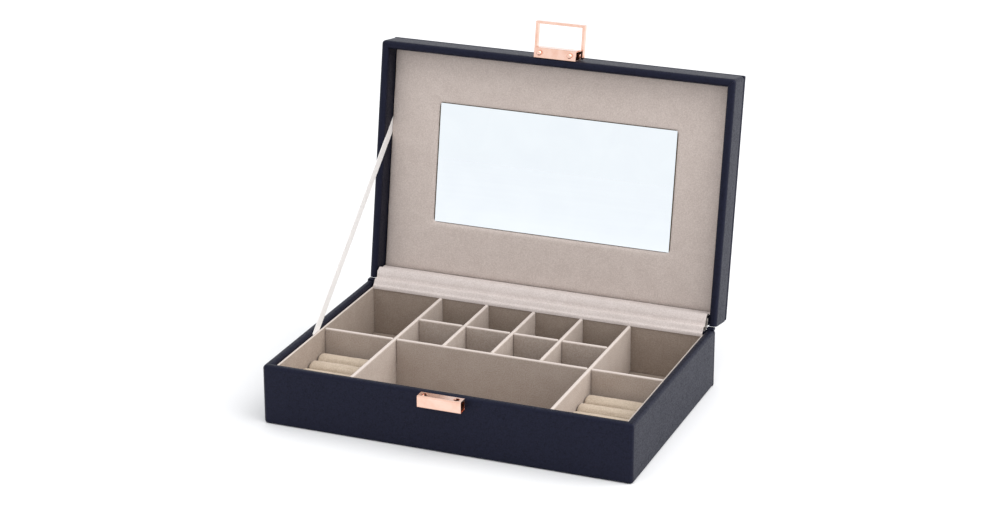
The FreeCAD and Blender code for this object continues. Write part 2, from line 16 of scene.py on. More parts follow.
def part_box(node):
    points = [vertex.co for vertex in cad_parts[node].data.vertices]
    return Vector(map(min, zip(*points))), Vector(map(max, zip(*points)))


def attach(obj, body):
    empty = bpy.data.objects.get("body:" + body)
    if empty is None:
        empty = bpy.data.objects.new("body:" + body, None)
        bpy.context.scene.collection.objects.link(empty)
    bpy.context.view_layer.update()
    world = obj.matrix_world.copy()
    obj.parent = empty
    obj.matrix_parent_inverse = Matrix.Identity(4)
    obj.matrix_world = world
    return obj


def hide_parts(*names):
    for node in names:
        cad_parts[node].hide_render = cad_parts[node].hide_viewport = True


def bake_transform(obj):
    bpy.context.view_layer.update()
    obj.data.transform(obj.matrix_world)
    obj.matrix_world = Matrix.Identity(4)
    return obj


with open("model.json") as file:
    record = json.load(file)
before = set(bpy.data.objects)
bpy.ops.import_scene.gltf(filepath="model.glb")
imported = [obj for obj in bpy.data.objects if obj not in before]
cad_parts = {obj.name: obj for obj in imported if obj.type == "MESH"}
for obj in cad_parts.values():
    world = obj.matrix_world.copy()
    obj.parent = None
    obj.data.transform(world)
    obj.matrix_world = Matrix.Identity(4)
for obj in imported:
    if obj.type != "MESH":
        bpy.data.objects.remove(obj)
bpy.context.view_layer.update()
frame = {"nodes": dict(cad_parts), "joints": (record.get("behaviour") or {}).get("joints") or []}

LOG = logging.getLogger("jewelry_box")
MM = 0.001
NEAR = 0.01  # measures that are this close, in millimetres, count as equal
WAVE_PERIOD = math.pi / 10  # the period of the wave texture at a scale of one

HINGE = next(joint for joint in frame["joints"] if joint["name"] == "lid_hinge")
PIN = Vector(HINGE["pos_m"])
OPENING = math.radians(HINGE["range_deg"][1])
LID_OPEN = Matrix.Translation(PIN) @ Matrix.Rotation(-OPENING, 4, "X") @ Matrix.Translation(-PIN)

Point = Sequence[float]
Test = Callable[[Any], bool]


class Body(Enum):
    """The rigid bodies that pieces ride on."""

    BASE = "base"
    LID = "lid"
    LOOP = "clasp_loop"


class Pick(Enum):
    """The kinds of mesh element that can be selected."""

    VERT = "VERT"
    EDGE = "EDGE"
    FACE = "FACE"


# ---------------------------------------------------------------- material nodes
def linear(code: str) -> tuple[float, float, float, float]:
    """Turns an sRGB hex value to a linear colour.

    Args:
        code: six hex digits, with or without a leading hash.

    Returns:
        The linear red, green, blue and alpha.
    """
    code = code.lstrip("#")
    parts = (int(code[i : i + 2], 16) / 255 for i in (0, 2, 4))
    red, green, blue = (c / 12.92 if c <= 0.04045 else ((c + 0.055) / 1.055) ** 2.4 for c in parts)
    return red, green, blue, 1.0


def add(
    tree: bpy.types.NodeTree, kind: str, inputs: dict[str | int, Any] | None = None, **settings: Any
) -> bpy.types.Node:
    """Adds a node, with its settings, its values and its links.

    Args:
        tree: the node tree to add to.
        kind: the node's type, without the ShaderNode at its front.
        inputs: values or output sockets, by input name or number.
        **settings: properties of the node itself.

    Returns:
        The new node.
    """
    made = tree.nodes.new("ShaderNode" + kind)
    for name, value in settings.items():
        setattr(made, name, value)
    for name, value in (inputs or {}).items():
        if isinstance(value, bpy.types.NodeSocket):
            tree.links.new(value, made.inputs[name])
        else:
            made.inputs[name].default_value = value
    return made


def new_material(name: str) -> tuple[bpy.types.Material, bpy.types.NodeTree]:
    """Makes an empty node material.

    Args:
        name: the finish's name.

    Returns:
        The material and its node tree.
    """
    material = bpy.data.materials.new(name)
    material.use_nodes = True
    material.node_tree.nodes.clear()
    return material, material.node_tree


def ramp(tree: bpy.types.NodeTree, fac: Any, stops: Sequence[tuple[float, str]]) -> bpy.types.NodeSocket:
    """Adds a colour ramp.

    Args:
        tree: the node tree to add to.
        fac: the socket that drives it.
        stops: positions with hex colours.

    Returns:
        The ramp's colour socket.
    """
    made = add(tree, "ValToRGB", {"Fac": fac})
    band = made.color_ramp
    while len(band.elements) < len(stops):
        band.elements.new(0.5)
    for element, (position, code) in zip(band.elements, stops):
        element.position = position
        element.color = linear(code)
    return made.outputs["Color"]


def surface(tree: bpy.types.NodeTree, **inputs: Any) -> None:
    """Ends a material in a Principled shader, its inputs named with underscores for spaces."""
    shader = add(tree, "BsdfPrincipled", {name.replace("_", " "): value for name, value in inputs.items()})
    add(tree, "OutputMaterial", {"Surface": shader.outputs["BSDF"]})


def per_metre(size_mm: float) -> float:
    """The texture scale whose features are that many millimetres apart."""
    return 1.0 / (size_mm * MM)


@dataclass(frozen=True)
class Leather:
    """Coated split leather: polyurethane film embossed with a fine pebble grain over fabric.

    The film gives a soft broad gloss that breaks up into tiny glints on the pebbles.
    """

    name: str = "embossed_pu_leather"
    valley: str = "#07080f"
    pebble: str = "#10121f"
    grain_mm: float = 1.1
    crease_mm: float = 2.53
    drape_mm: float = 14.0
    gloss: tuple[float, float] = (0.42, 0.64)
    grain_depth: float = 0.2
    drape_depth: float = 0.6
    film_tint: str = "#b5b8e6"

    def build(self) -> bpy.types.Material:
        """Builds the material."""
        material, tree = new_material(self.name)
        where = add(tree, "TexCoord").outputs["Object"]
        cells = add(tree, "TexVoronoi", {"Vector": where, "Scale": per_metre(self.grain_mm),
                                         "Randomness": 0.9}, feature="SMOOTH_F1")
        crease = add(tree, "TexNoise", {"Vector": where, "Scale": per_metre(self.crease_mm),
                                        "Detail": 5.0, "Roughness": 0.62})
        drape = add(tree, "TexNoise", {"Vector": where, "Scale": per_metre(self.drape_mm), "Detail": 2.0})
        mixed = add(tree, "Math", {0: cells.outputs["Distance"], 1: crease.outputs["Fac"]},
                    operation="MULTIPLY")
        colour = ramp(tree, mixed.outputs[0], ((0.05, self.pebble), (0.42, self.valley)))
        rough = add(tree, "MapRange", {"Value": mixed.outputs[0], "From Min": 0.0, "From Max": 0.45,
                                       "To Min": self.gloss[0], "To Max": self.gloss[1]})
        soft = add(tree, "Bump", {"Height": drape.outputs["Fac"], "Strength": 0.35,
                                  "Distance": self.drape_depth * MM})
        grain = add(tree, "Bump", {"Height": mixed.outputs[0], "Strength": 1.0,
                                   "Distance": self.grain_depth * MM,
                                   "Normal": soft.outputs["Normal"]}, invert=True)
        surface(tree, Base_Color=colour, Roughness=rough.outputs["Result"], Normal=grain.outputs["Normal"],
                IOR=1.5, Specular_IOR_Level=0.31, Specular_Tint=linear(self.film_tint))
        return material


@dataclass(frozen=True)
class Velour:
    """Brushed velour: short fibres flocked on a knit.

    Its tops are painted lighter near top_mm and above, a painted highlight where they face the light, and the
    nap shows in soft patches.
    """

    name: str
    deep: str
    face: str
    # The lighter colour painted on the tops as painted light.
    painted_light_top: str = "#e6dcd5"
    top_mm: float = 1000.0
    nap_mm: float = 9.0
    nap_share: float = 0.16
    fibre_mm: float = 0.9
    fibre_depth: float = 0.25
    # Where the painted light on the tops starts and ends, in millimetres from top_mm.
    painted_light_band: tuple[float, float] = (-0.7, 0.1)

    def build(self) -> bpy.types.Material:
        """Builds the material; near top_mm in height and above, a lighter colour is painted on as painted
        light on the lit tops.
        """
        material, tree = new_material(self.name)
        where = add(tree, "TexCoord").outputs["Object"]
        fibre = add(tree, "TexNoise", {"Vector": where, "Scale": per_metre(self.fibre_mm), "Detail": 4.0,
                                       "Roughness": 0.7})
        nap = add(tree, "TexNoise", {"Vector": where, "Scale": per_metre(self.nap_mm), "Detail": 3.0,
                                     "Roughness": 0.55})
        both = add(tree, "Mix", {"Factor": self.nap_share, 2: fibre.outputs["Fac"], 3: nap.outputs["Fac"]},
                   data_type="FLOAT")
        pile = ramp(tree, both.outputs[0], ((0.41, self.deep), (0.6, self.face)))
        height = add(tree, "SeparateXYZ", {0: where}).outputs["Z"]
        # Painted light: the colour turns lighter near top_mm and above, where the tops catch the light.
        start, end = (self.top_mm + step for step in self.painted_light_band)
        edge = add(tree, "MapRange", {"Value": height, "From Min": start * MM, "From Max": end * MM},
                   interpolation_type="SMOOTHSTEP")
        colour = add(tree, "Mix", {"Factor": edge.outputs["Result"], 6: pile, 7: linear(self.painted_light_top)},
                     data_type="RGBA")
        bump = add(tree, "Bump", {"Height": both.outputs[0], "Strength": 0.6,
                                  "Distance": self.fibre_depth * MM})
        surface(tree, Base_Color=colour.outputs[2], Roughness=0.92, Normal=bump.outputs["Normal"],
                Sheen_Weight=0.35, Sheen_Roughness=0.45, Sheen_Tint=linear("#efe6df"),
                Specular_IOR_Level=0.2)
        return material


@dataclass(frozen=True)
class Satin:
    """Woven polyester satin ribbon: smooth floats with a fine diagonal rib."""

    name: str = "woven_satin"
    dark: str = "#dedbd9"
    light: str = "#efedeb"
    rib_mm: float = 0.45
    rib_angle: float = 38.0

    def build(self) -> bpy.types.Material:
        """Builds the material on the ribbon's own UV map, in which U runs across and V along, in metres."""
        material, tree = new_material(self.name)
        where = add(tree, "UVMap", uv_map="ribbon").outputs["UV"]
        angle = math.radians(self.rib_angle)
        turned = add(tree, "Mapping", {"Vector": where, "Rotation": (0.0, 0.0, angle)})
        ribs = add(tree, "TexWave", {"Vector": turned.outputs["Vector"],
                                     "Scale": per_metre(self.rib_mm) * WAVE_PERIOD,
                                     "Distortion": 0.6, "Detail": 2.0, "Detail Scale": 3.0},
                   bands_direction="Y")
        colour = ramp(tree, ribs.outputs["Fac"], ((0.1, self.dark), (0.75, self.light)))
        bump = add(tree, "Bump", {"Height": ribs.outputs["Fac"], "Strength": 0.3, "Distance": 0.05 * MM})
        surface(tree, Base_Color=colour, Roughness=0.38, Normal=bump.outputs["Normal"], Sheen_Weight=0.3,
                Sheen_Roughness=0.3, Anisotropic=0.4)
        return material


@dataclass(frozen=True)
class Metal:
    """Plated or plain sheet metal with fine marks left by polishing or rolling along X."""

    name: str
    colour: str
    shade: str
    roughness: float
    spread: float
    mark_mm: float

    def build(self) -> bpy.types.Material:
        """Builds the material."""
        material, tree = new_material(self.name)
        where = add(tree, "TexCoord").outputs["Object"]
        pulled = add(tree, "Mapping", {"Vector": where, "Scale": (0.06, 1.0, 1.0)})
        marks = add(tree, "TexNoise", {"Vector": pulled.outputs["Vector"], "Scale": per_metre(self.mark_mm),
                                       "Detail": 4.0, "Roughness": 0.6})
        cloud = add(tree, "TexNoise", {"Vector": where, "Scale": per_metre(6.0), "Detail": 2.0})
        colour = ramp(tree, cloud.outputs["Fac"], ((0.3, self.shade), (0.62, self.colour)))
        rough = add(tree, "MapRange", {"Value": marks.outputs["Fac"], "From Min": 0.3, "From Max": 0.7,
                                       "To Min": self.roughness, "To Max": self.roughness + self.spread})
        bump = add(tree, "Bump", {"Height": marks.outputs["Fac"], "Strength": 0.12, "Distance": 0.02 * MM})
        surface(tree, Base_Color=colour, Metallic=1.0, Roughness=rough.outputs["Result"],
                Normal=bump.outputs["Normal"])
        return material


@dataclass(frozen=True)
class MirrorGlass:
    """Silvered float glass: a clean cold reflection with a faint haze where it was wiped."""

    name: str = "silvered_glass"
    colour: str = "#e9eef1"
    edge: str = "#e5eaee"
    wipe_mm: float = 35.0

    def build(self) -> bpy.types.Material:
        """Builds the material."""
        material, tree = new_material(self.name)
        where = add(tree, "TexCoord").outputs["Object"]
        wipe = add(tree, "TexNoise", {"Vector": where, "Scale": per_metre(self.wipe_mm), "Detail": 5.0,
                                      "Distortion": 0.8})
        colour = ramp(tree, wipe.outputs["Fac"], ((0.2, self.edge), (0.7, self.colour)))
        rough = add(tree, "MapRange", {"Value": wipe.outputs["Fac"], "To Min": 0.006, "To Max": 0.016})
        surface(tree, Base_Color=colour, Metallic=1.0, Roughness=rough.outputs["Result"])
        return material


@dataclass(frozen=True)
class Board:
    """Pressed grey board or its lining paper: matt, with short fibres, some of them darker."""

    name: str
    dark: str
    light: str
    fibre_mm: float = 1.1

    def build(self) -> bpy.types.Material:
        """Builds the material."""
        material, tree = new_material(self.name)
        where = add(tree, "TexCoord").outputs["Object"]
        pulled = add(tree, "Mapping", {"Vector": where, "Scale": (0.35, 1.0, 1.0),
                                       "Rotation": (0.0, 0.0, 0.5)})
        fibre = add(tree, "TexNoise", {"Vector": pulled.outputs["Vector"], "Scale": per_metre(self.fibre_mm),
                                       "Detail": 6.0, "Roughness": 0.7})
        colour = ramp(tree, fibre.outputs["Fac"], ((0.35, self.dark), (0.6, self.light)))
        bump = add(tree, "Bump", {"Height": fibre.outputs["Fac"], "Strength": 0.4, "Distance": 0.1 * MM})
        surface(tree, Base_Color=colour, Roughness=0.9, Normal=bump.outputs["Normal"],
                Specular_IOR_Level=0.3)
        return material


@dataclass(frozen=True)
class Finish:
    """A built material and the record's slot that it stands for."""

    material: bpy.types.Material
    slot: str


class Wardrobe:
    """Every finish of the box, built once."""

    def __init__(self) -> None:
        """Builds the materials."""
        # The tray's velour is a darker copy of the dividers' velour, painted shade for the tray's shaded
        # insides; the last colour of each is the painted light on their tops.
        tray = Velour("tray_velour", "#8e7f74", "#9f9185", "#c0b5ad", top_mm=42.0)
        divider = Velour("divider_velour", "#a09186", "#b3a79e", "#c2b7b0", top_mm=41.0)
        panel = Velour("panel_velour", "#b2a59e", "#c4b8b1")
        gusset = Velour("gusset_velour", "#bbb0ab", "#ccc2be")
        roll = Velour("roll_velour", "#ad9d8b", "#c1b2a0", nap_mm=5.0)
        gold = Metal("rose_gold_plate", "#f0cab9", "#e9bca8", roughness=0.10, spread=0.08, mark_mm=0.35)
        steel = Metal("nickel_plated_steel", "#c9c6c1", "#aeaba7", roughness=0.28, spread=0.2, mark_mm=0.25)
        self.leather = Finish(Leather().build(), "case_leather")
        self.lining = Finish(Board("lining_paper", "#16181f", "#22252e").build(), "case_leather")
        self.tray = Finish(tray.build(), "tray_velour")
        self.divider = Finish(divider.build(), "tray_velour")
        self.panel = Finish(panel.build(), "panel_velour")
        self.gusset = Finish(gusset.build(), "panel_velour")
        self.roll = Finish(roll.build(), "roll_foam")
        self.satin = Finish(Satin().build(), "satin")
        self.gold = Finish(gold.build(), "rose_gold")
        self.steel = Finish(steel.build(), "hinge_steel")
        self.mirror = Finish(MirrorGlass().build(), "mirror_glass")
        self.board = Finish(Board("grey_board", "#6f6250", "#8b7c66").build(), "board")


# ---------------------------------------------------------------- modelling
def scaled(point: Point) -> Vector:
    """A point in millimetres as a vector in metres."""
    return Vector(point) * MM


class Bench:
    """One mesh on the bench, shaped in edit mode with measures in millimetres."""

    def __init__(self, name: str, low: Point, high: Point) -> None:
        """Adds a box between two corners and opens it for editing.

        Args:
            name: the piece's name.
            low: its lowest corner, in millimetres.
            high: its highest corner, in millimetres.
        """
        bpy.ops.object.select_all(action="DESELECT")
        size, centre = scaled(high) - scaled(low), (scaled(high) + scaled(low)) / 2
        bpy.ops.mesh.primitive_cube_add(size=1, location=centre, scale=size)
        self.obj = bpy.context.view_layer.objects.active
        self.obj.name = self.obj.data.name = name
        bpy.ops.object.transform_apply(location=True, rotation=True, scale=True)
        bpy.ops.object.mode_set(mode="EDIT")

    def close(self) -> bpy.types.Object:
        """Leaves edit mode and returns the piece."""
        bpy.ops.object.mode_set(mode="OBJECT")
        return self.obj

    def pick(self, kind: Pick, test: Test) -> int:
        """Selects the elements that pass a test, and nothing else.

        Args:
            kind: vertices, edges or faces.
            test: says whether an element is wanted.

        Returns:
            How many were selected.
        """
        bpy.ops.mesh.select_mode(type=kind.value)
        bpy.ops.mesh.select_all(action="DESELECT")
        mesh = bmesh.from_edit_mesh(self.obj.data)
        pool = {Pick.VERT: mesh.verts, Pick.EDGE: mesh.edges, Pick.FACE: mesh.faces}[kind]
        wanted = [item for item in pool if test(item)]
        for item in wanted:
            item.select_set(True)
        mesh.select_flush_mode()
        bmesh.update_edit_mesh(self.obj.data)
        return len(wanted)

    def bevel(self, test: Test, width: float, segments: int) -> None:
        """Rounds the edges that pass a test."""
        if self.pick(Pick.EDGE, test):
            bpy.ops.mesh.bevel(offset=width * MM, offset_type="OFFSET", segments=segments, profile=0.5,
                               affect="EDGES", clamp_overlap=True)

    def shift(self, kind: Pick, test: Test, by: Point) -> None:
        """Moves the elements that pass a test."""
        if self.pick(kind, test):
            bpy.ops.transform.translate(value=scaled(by))

    def cut(self, test: Test, point: Point, normal: Point) -> None:
        """Cuts the faces that pass a test along a plane."""
        if self.pick(Pick.FACE, test):
            bpy.ops.mesh.bisect(plane_co=scaled(point), plane_no=Vector(normal))

    def hollow(self, wall: float) -> None:
        """Turns a box into a frame that is open along Z, with walls of one thickness."""
        self.pick(Pick.FACE, lambda f: abs(f.normal.z) > 0.9)
        bpy.ops.mesh.inset(thickness=wall * MM, depth=0.0, use_boundary=True, use_even_offset=True)
        bpy.ops.mesh.delete(type="FACE")
        self.pick(Pick.EDGE, lambda e: e.is_boundary)
        bpy.ops.mesh.bridge_edge_loops()

    def recalculate(self) -> None:
        """Turns every face outwards."""
        bpy.ops.mesh.select_all(action="SELECT")
        bpy.ops.mesh.normals_make_consistent(inside=False)


def choose(obj: bpy.types.Object) -> None:
    """Selects one object, and nothing else, and makes it the active one."""
    bpy.ops.object.select_all(action="DESELECT")
    obj.select_set(True)
    bpy.context.view_layer.objects.active = obj


def placed(name: str, data: Any) -> bpy.types.Object:
    """Makes an object of a mesh, a light or a camera and links it to the scene."""
    obj = bpy.data.objects.new(name, data)
    bpy.context.scene.collection.objects.link(obj)
    return obj


def modify(obj: bpy.types.Object, kind: str, **settings: Any) -> None:
    """Adds a modifier with its settings and applies it."""
    choose(obj)
    modifier = obj.modifiers.new(kind.lower(), kind)
    for name, value in settings.items():
        setattr(modifier, name, value)
    bpy.ops.object.modifier_apply(modifier=modifier.name)


def smooth(obj: bpy.types.Object, degrees: float) -> None:
    """Shades a piece smooth up to an angle, with its large faces kept flat."""
    choose(obj)
    bpy.ops.object.shade_smooth_by_angle(angle=math.radians(degrees))
    modify(obj, "WEIGHTED_NORMAL", keep_sharp=True, weight=60)


def dress(
    obj: bpy.types.Object,
    finish: Finish,
    body: Body | None,
    nodes: Sequence[str],
    place: Matrix | None = None,
) -> None:
    """Finishes a piece: its place, its material and what it stands for.

    Args:
        obj: the piece, with its object at the origin.
        finish: its material and slot.
        body: what it rides on, or None for a piece laid out across two bodies that rides on neither.
        nodes: the CAD nodes that it stands for.
        place: a turn to apply to its mesh first.
    """
    if place is not None:
        obj.data.transform(place)
        obj.data.update()
    obj.data.materials.clear()
    obj.data.materials.append(finish.material)
    if body is not None:
        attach(obj, body.value)
    if nodes:
        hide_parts(*nodes)
    LOG.info("made %s for %s", obj.name, ", ".join(nodes) or "itself")


def paint(finish: Finish, *nodes: str) -> None:
    """Gives CAD nodes that keep their own shape a better material."""
    for node in nodes:
        mesh = frame["nodes"][node].data
        mesh.materials.clear()
        mesh.materials.append(finish.material)
        LOG.info("painted %s", node)


def refined(node: str, name: str, width: float, segments: int = 2) -> bpy.types.Object:
    """Copies a CAD node, merges its loose triangles and breaks its sharp edges.

    Args:
        node: the node to copy.
        name: the new piece's name.
        width: how far each edge is broken, in millimetres.
        segments: how many steps the rounding has.

    Returns:
        The new piece.
    """
    mesh = frame["nodes"][node].data.copy()
    mesh.name = name
    obj = placed(name, mesh)
    choose(obj)
    bpy.ops.object.mode_set(mode="EDIT")
    bpy.ops.mesh.select_all(action="SELECT")
    bpy.ops.mesh.remove_doubles(threshold=0.002 * MM)
    bpy.ops.mesh.dissolve_limited(angle_limit=math.radians(0.6))
    bpy.ops.object.mode_set(mode="OBJECT")
    modify(obj, "BEVEL", width=width * MM, segments=segments, limit_method="ANGLE",
           angle_limit=math.radians(38), use_clamp_overlap=True)
    smooth(obj, 30.0)
    return obj


# ---------------------------------------------------------------- wrapped boards
@dataclass
class WrappedWalls:
    """Three wall boards in one leather wrap: a front and two sides, mitred and creased at the rim."""

    name: str
    half_x: float
    front: float
    back: float
    low: float
    high: float
    rim_up: bool
    wall: float = 6.0
    rim_round: float = 2.6
    inner_round: float = 2.2
    corner_round: float = 2.6
    foot_round: float = 1.6
    crease: float = 0.9
    crease_width: float = 0.45
    crease_reach: float = 8.0

    @property
    def rim(self) -> float:
        """The rim's height."""
        return self.high if self.rim_up else self.low

    @property
    def foot(self) -> float:
        """The height of the edge opposite the rim."""
        return self.low if self.rim_up else self.high

    @property
    def inner_x(self) -> float:
        """How far the side walls' inner faces are from the middle."""
        return self.half_x - self.wall

    @property
    def inner_y(self) -> float:
        """Where the front wall's inner face is."""
        return self.front + self.wall

    def build(self) -> bpy.types.Object:
        """Models the walls and returns them."""
        bench = Bench(self.name, (-self.half_x, self.front, self.low),
                      (self.half_x, self.inner_y, self.high))
        for side in (-1, 1):
            bench.cut(lambda f: True, (side * self.inner_x, 0, 0), (1, 0, 0))
        inside = self.inner_x * MM
        bench.pick(Pick.FACE, lambda f: f.normal.y > 0.9 and abs(f.calc_center_median().x) > inside)
        bpy.ops.mesh.extrude_region_move(
            TRANSFORM_OT_translate={"value": (0, (self.back - self.inner_y) * MM, 0)}
        )
        bench.recalculate()
        self._round(bench)
        for side in (-1, 1):
            self._fold(bench, side)
        obj = bench.close()
        smooth(obj, 40.0)
        return obj

    def _at(self, edge: Any, axis: int, value: float) -> bool:
        """Whether both ends of an edge have one coordinate at a value, in millimetres."""
        return all(abs(v.co[axis] / MM - value) < NEAR for v in edge.verts)

    def _beside(self, edge: Any, distance: float) -> bool:
        """Whether an edge is that far to the left or to the right of the middle."""
        return self._at(edge, 0, distance) or self._at(edge, 0, -distance)

    def _upright(self, edge: Any) -> bool:
        """Whether an edge runs up the walls."""
        return abs(edge.verts[0].co.z - edge.verts[1].co.z) / MM > (self.high - self.low) / 2

    def _turns(self, edge: Any, height: float) -> bool:
        """Whether an edge at a height is one where the wrap turns over."""
        return self._at(edge, 2, height) and len({round(f.normal.z, 2) for f in edge.link_faces}) > 1

    def _outward(self, edge: Any) -> bool:
        """Whether an edge is in the outer half of the walls and off their back ends."""
        half = self.wall / 2
        outer = all(abs(v.co.x) / MM > self.inner_x + half or v.co.y / MM < self.inner_y - half
                    for v in edge.verts)
        return outer and not self._at(edge, 1, self.back)

    def _round(self, bench: Bench) -> None:
        """Rounds the upright corners, the outer rim, the inner rim and the foot."""
        bench.bevel(lambda e: self._upright(e) and self._at(e, 1, self.front)
                    and self._beside(e, self.half_x), self.corner_round, 4)
        bench.bevel(lambda e: self._turns(e, self.rim) and self._outward(e), self.rim_round, 5)
        bench.bevel(lambda e: self._turns(e, self.rim)
                    and (self._at(e, 1, self.inner_y) or self._beside(e, self.inner_x)), self.inner_round, 4)
        bench.bevel(lambda e: self._turns(e, self.foot) and self._outward(e), self.foot_round, 2)

    def _fold(self, bench: Bench, side: int) -> None:
        """Presses the mitre's crease across the rim at one front corner."""
        corner = Vector((side * self.half_x, self.front, 0))
        across = Vector((1, side, 0))
        plane = across.normalized()

        def near(vert: Any) -> bool:
            """Whether a vertex is at this corner."""
            return all(abs(vert.co[axis] / MM - corner[axis]) < self.crease_reach for axis in (0, 1))

        def on_crease(vert: Any) -> bool:
            """Whether a vertex lies on the mitre's line over the rim."""
            on_plane = abs((vert.co - corner * MM).dot(plane)) < 0.002 * MM
            return on_plane and near(vert) and abs(vert.co.z / MM - self.rim) < self.rim_round + 0.05

        bench.cut(lambda f: any(near(v) for v in f.verts), corner, across)
        bench.bevel(lambda e: all(on_crease(v) for v in e.verts), self.crease_width, 2)
        inward = -1 if self.rim_up else 1
        slip = self.crease * 0.4
        bench.shift(Pick.VERT, on_crease, (-side * slip, slip, inward * self.crease))


@dataclass
class WrappedBoard:
    """A single board in its own wrap, with soft edges."""

    name: str
    low: Point
    high: Point
    edge: float
    segments: int

    def build(self, finer: Callable[[Bench], None] | None = None) -> bpy.types.Object:
        """Models the board.

        Args:
            finer: further moves on the bench, made before the edges are softened.

        Returns:
            The board.
        """
        bench = Bench(self.name, self.low, self.high)
        if finer is not None:
            finer(bench)
        bench.bevel(lambda e: e.calc_face_angle(0.0) > 0.5, self.edge, self.segments)
        obj = bench.close()
        smooth(obj, 40.0)
        return obj


@dataclass
class Case:
    """The measures that the base's case and the lid's case share."""

    half_x: float = 140.0
    half_y: float = 92.0
    wall: float = 6.0
    cover: float = 3.5
    chamfer: float = 2.0
    seam_gap: float = 0.05

    @property
    def inner_x(self) -> float:
        """How far the side walls' inner faces are from the middle."""
        return self.half_x - self.wall

    def slope(self, height: float) -> Callable[[Bench], None]:
        """Makes the move that slopes a back board's outer edge at a height, to clear the hinge."""

        def on_edge(vert: Any) -> bool:
            """Whether a vertex lies on the outer edge at that height."""
            return abs(vert.co.z / MM - height) < NEAR and vert.co.y / MM > self.half_y - NEAR

        return lambda bench: bench.bevel(lambda e: all(on_edge(v) for v in e.verts), self.chamfer, 1)


@dataclass
class BaseCase(Case):
    """The case of the base: the wrapped walls, the back wall, its outer cover and the bottom board."""

    height: float = 45.0
    foot: float = 0.2
    bottom: float = 2.5
    bottom_play: float = 0.1
    back_board: float = 3.0
    back_drop: float = 0.5
    fold_insets: tuple[float, float] = (0.5, 5.9)
    fold_out: float = 0.55
    fold_up: float = 0.45
    fold_gap: float = 0.2
    fold_depth: float = 1.0

    def build(self, finishes: Wardrobe) -> None:
        """Models and dresses the case."""
        half_x, half_y, inner_x = self.half_x, self.half_y, self.inner_x
        seam, top = half_y - self.cover, self.height - self.back_drop
        walls = WrappedWalls("base_wrap", half_x, -half_y, seam, self.foot, self.height, rim_up=True).build()
        dress(walls, finishes.leather, Body.BASE, ["base_front_wall", "base_left_wall", "base_right_wall"])
        board = WrappedBoard("base_back_board", (-inner_x, seam - self.back_board, self.bottom),
                             (inner_x, seam, top), 0.6, 2).build()
        dress(board, finishes.leather, Body.BASE, ["base_back_wall"])
        cover = WrappedBoard("base_back_cover_wrap", (-half_x, seam + self.seam_gap, self.foot),
                             (half_x, half_y, top), 0.7, 3).build(self.slope(top))
        dress(cover, finishes.leather, Body.BASE, ["base_back_cover"])
        play = self.bottom_play
        bottom = WrappedBoard("base_lined_bottom", (-inner_x + play, -half_y + self.wall + play, 0.0),
                              (inner_x - play, seam - play, self.bottom), 0.3, 2).build()
        dress(bottom, finishes.lining, Body.BASE, ["base_bottom_board"])
        for side, name in ((-1, "left"), (1, "right")):
            self._turn_over(finishes, side, name)

    def _turn_over(self, finishes: Wardrobe, side: int, name: str) -> None:
        """Folds the wrap over the rim beside one end of the hinge, under the lid's path."""
        ends = sorted(side * (self.half_x - inset) for inset in self.fold_insets)
        low = (ends[0], self.half_y - self.cover + self.fold_gap, self.height - self.fold_depth)
        high = (ends[1], PIN.y / MM + self.fold_out, PIN.z / MM + self.fold_up)
        fold = WrappedBoard(f"base_wrap_fold_{name}", low, high, 0.3, 3).build()
        dress(fold, finishes.leather, Body.BASE, [])


@dataclass
class LidCase(Case):
    """The case of the lid, laid out closed and then turned open: its walls and its top cover."""

    rim: float = 46.0
    top: float = 73.0
    back_rise: float = 0.5

    def build(self, finishes: Wardrobe) -> None:
        """Models and dresses the lid's case."""
        half_x, half_y = self.half_x, self.half_y
        seam, low = self.top - self.cover, self.rim + self.back_rise
        walls = WrappedWalls("lid_wrap", half_x, -half_y, half_y, self.rim, seam, rim_up=False).build()
        dress(walls, finishes.leather, Body.LID, ["lid_front_wall", "lid_left_wall", "lid_right_wall"],
              LID_OPEN)
        back = WrappedBoard("lid_back_wrap", (-self.inner_x, half_y - self.wall, low),
                            (self.inner_x, half_y, seam), 0.5, 2).build(self.slope(low))
        dress(back, finishes.leather, Body.LID, ["lid_back_wall"], LID_OPEN)
        cover = WrappedBoard("lid_cover_wrap", (-half_x, -half_y, seam + self.seam_gap),
                             (half_x, half_y, self.top), 1.1, 4).build()
        dress(cover, finishes.leather, Body.LID, ["lid_top_cover"], LID_OPEN)
        paint(finishes.board, "lid_core_board", "mirror_backing")


# ---------------------------------------------------------------- soft pieces
@dataclass(frozen=True)
class Puff:
    """How a padded piece is blown up: a short cloth simulation with a cap on each point's travel."""

    voxel: float
    cap: float
    pressure: float
    grow: float
    frames: int = 18
    quality: int = 6
    mass: float = 0.3
    stretch_stiffness: float = 25.0
    bending_stiffness: float = 0.6

    def run(self, obj: bpy.types.Object) -> None:
        """Remeshes the piece, blows it up as cloth and applies the result.

        Args:
            obj: the piece, in metres, at the origin.
        """
        modify(obj, "REMESH", mode="VOXEL", voxel_size=self.voxel * MM, use_smooth_shade=True)
        rest = [v.co.copy() for v in obj.data.vertices]
        cloth = obj.modifiers.new("cloth", "CLOTH")
        settings = cloth.settings
        settings.quality = self.quality
        settings.use_pressure = True
        settings.uniform_pressure_force = self.pressure
        settings.shrink_min = -self.grow
        settings.effector_weights.gravity = 0.0
        settings.mass = self.mass
        settings.tension_stiffness = settings.compression_stiffness = self.stretch_stiffness
        settings.bending_stiffness = self.bending_stiffness
        cloth.collision_settings.use_collision = False
        cloth.point_cache.frame_start = 1
        cloth.point_cache.frame_end = self.frames
        scene = bpy.context.scene
        for step in range(1, self.frames + 1):
            scene.frame_set(step)
        choose(obj)
        bpy.ops.object.modifier_apply(modifier=cloth.name)
        scene.frame_set(1)
        for vert, start in zip(obj.data.vertices, rest):
            travel = vert.co - start
            if travel.length > self.cap * MM:
                vert.co = start + travel.normalized() * self.cap * MM
        obj.data.update()


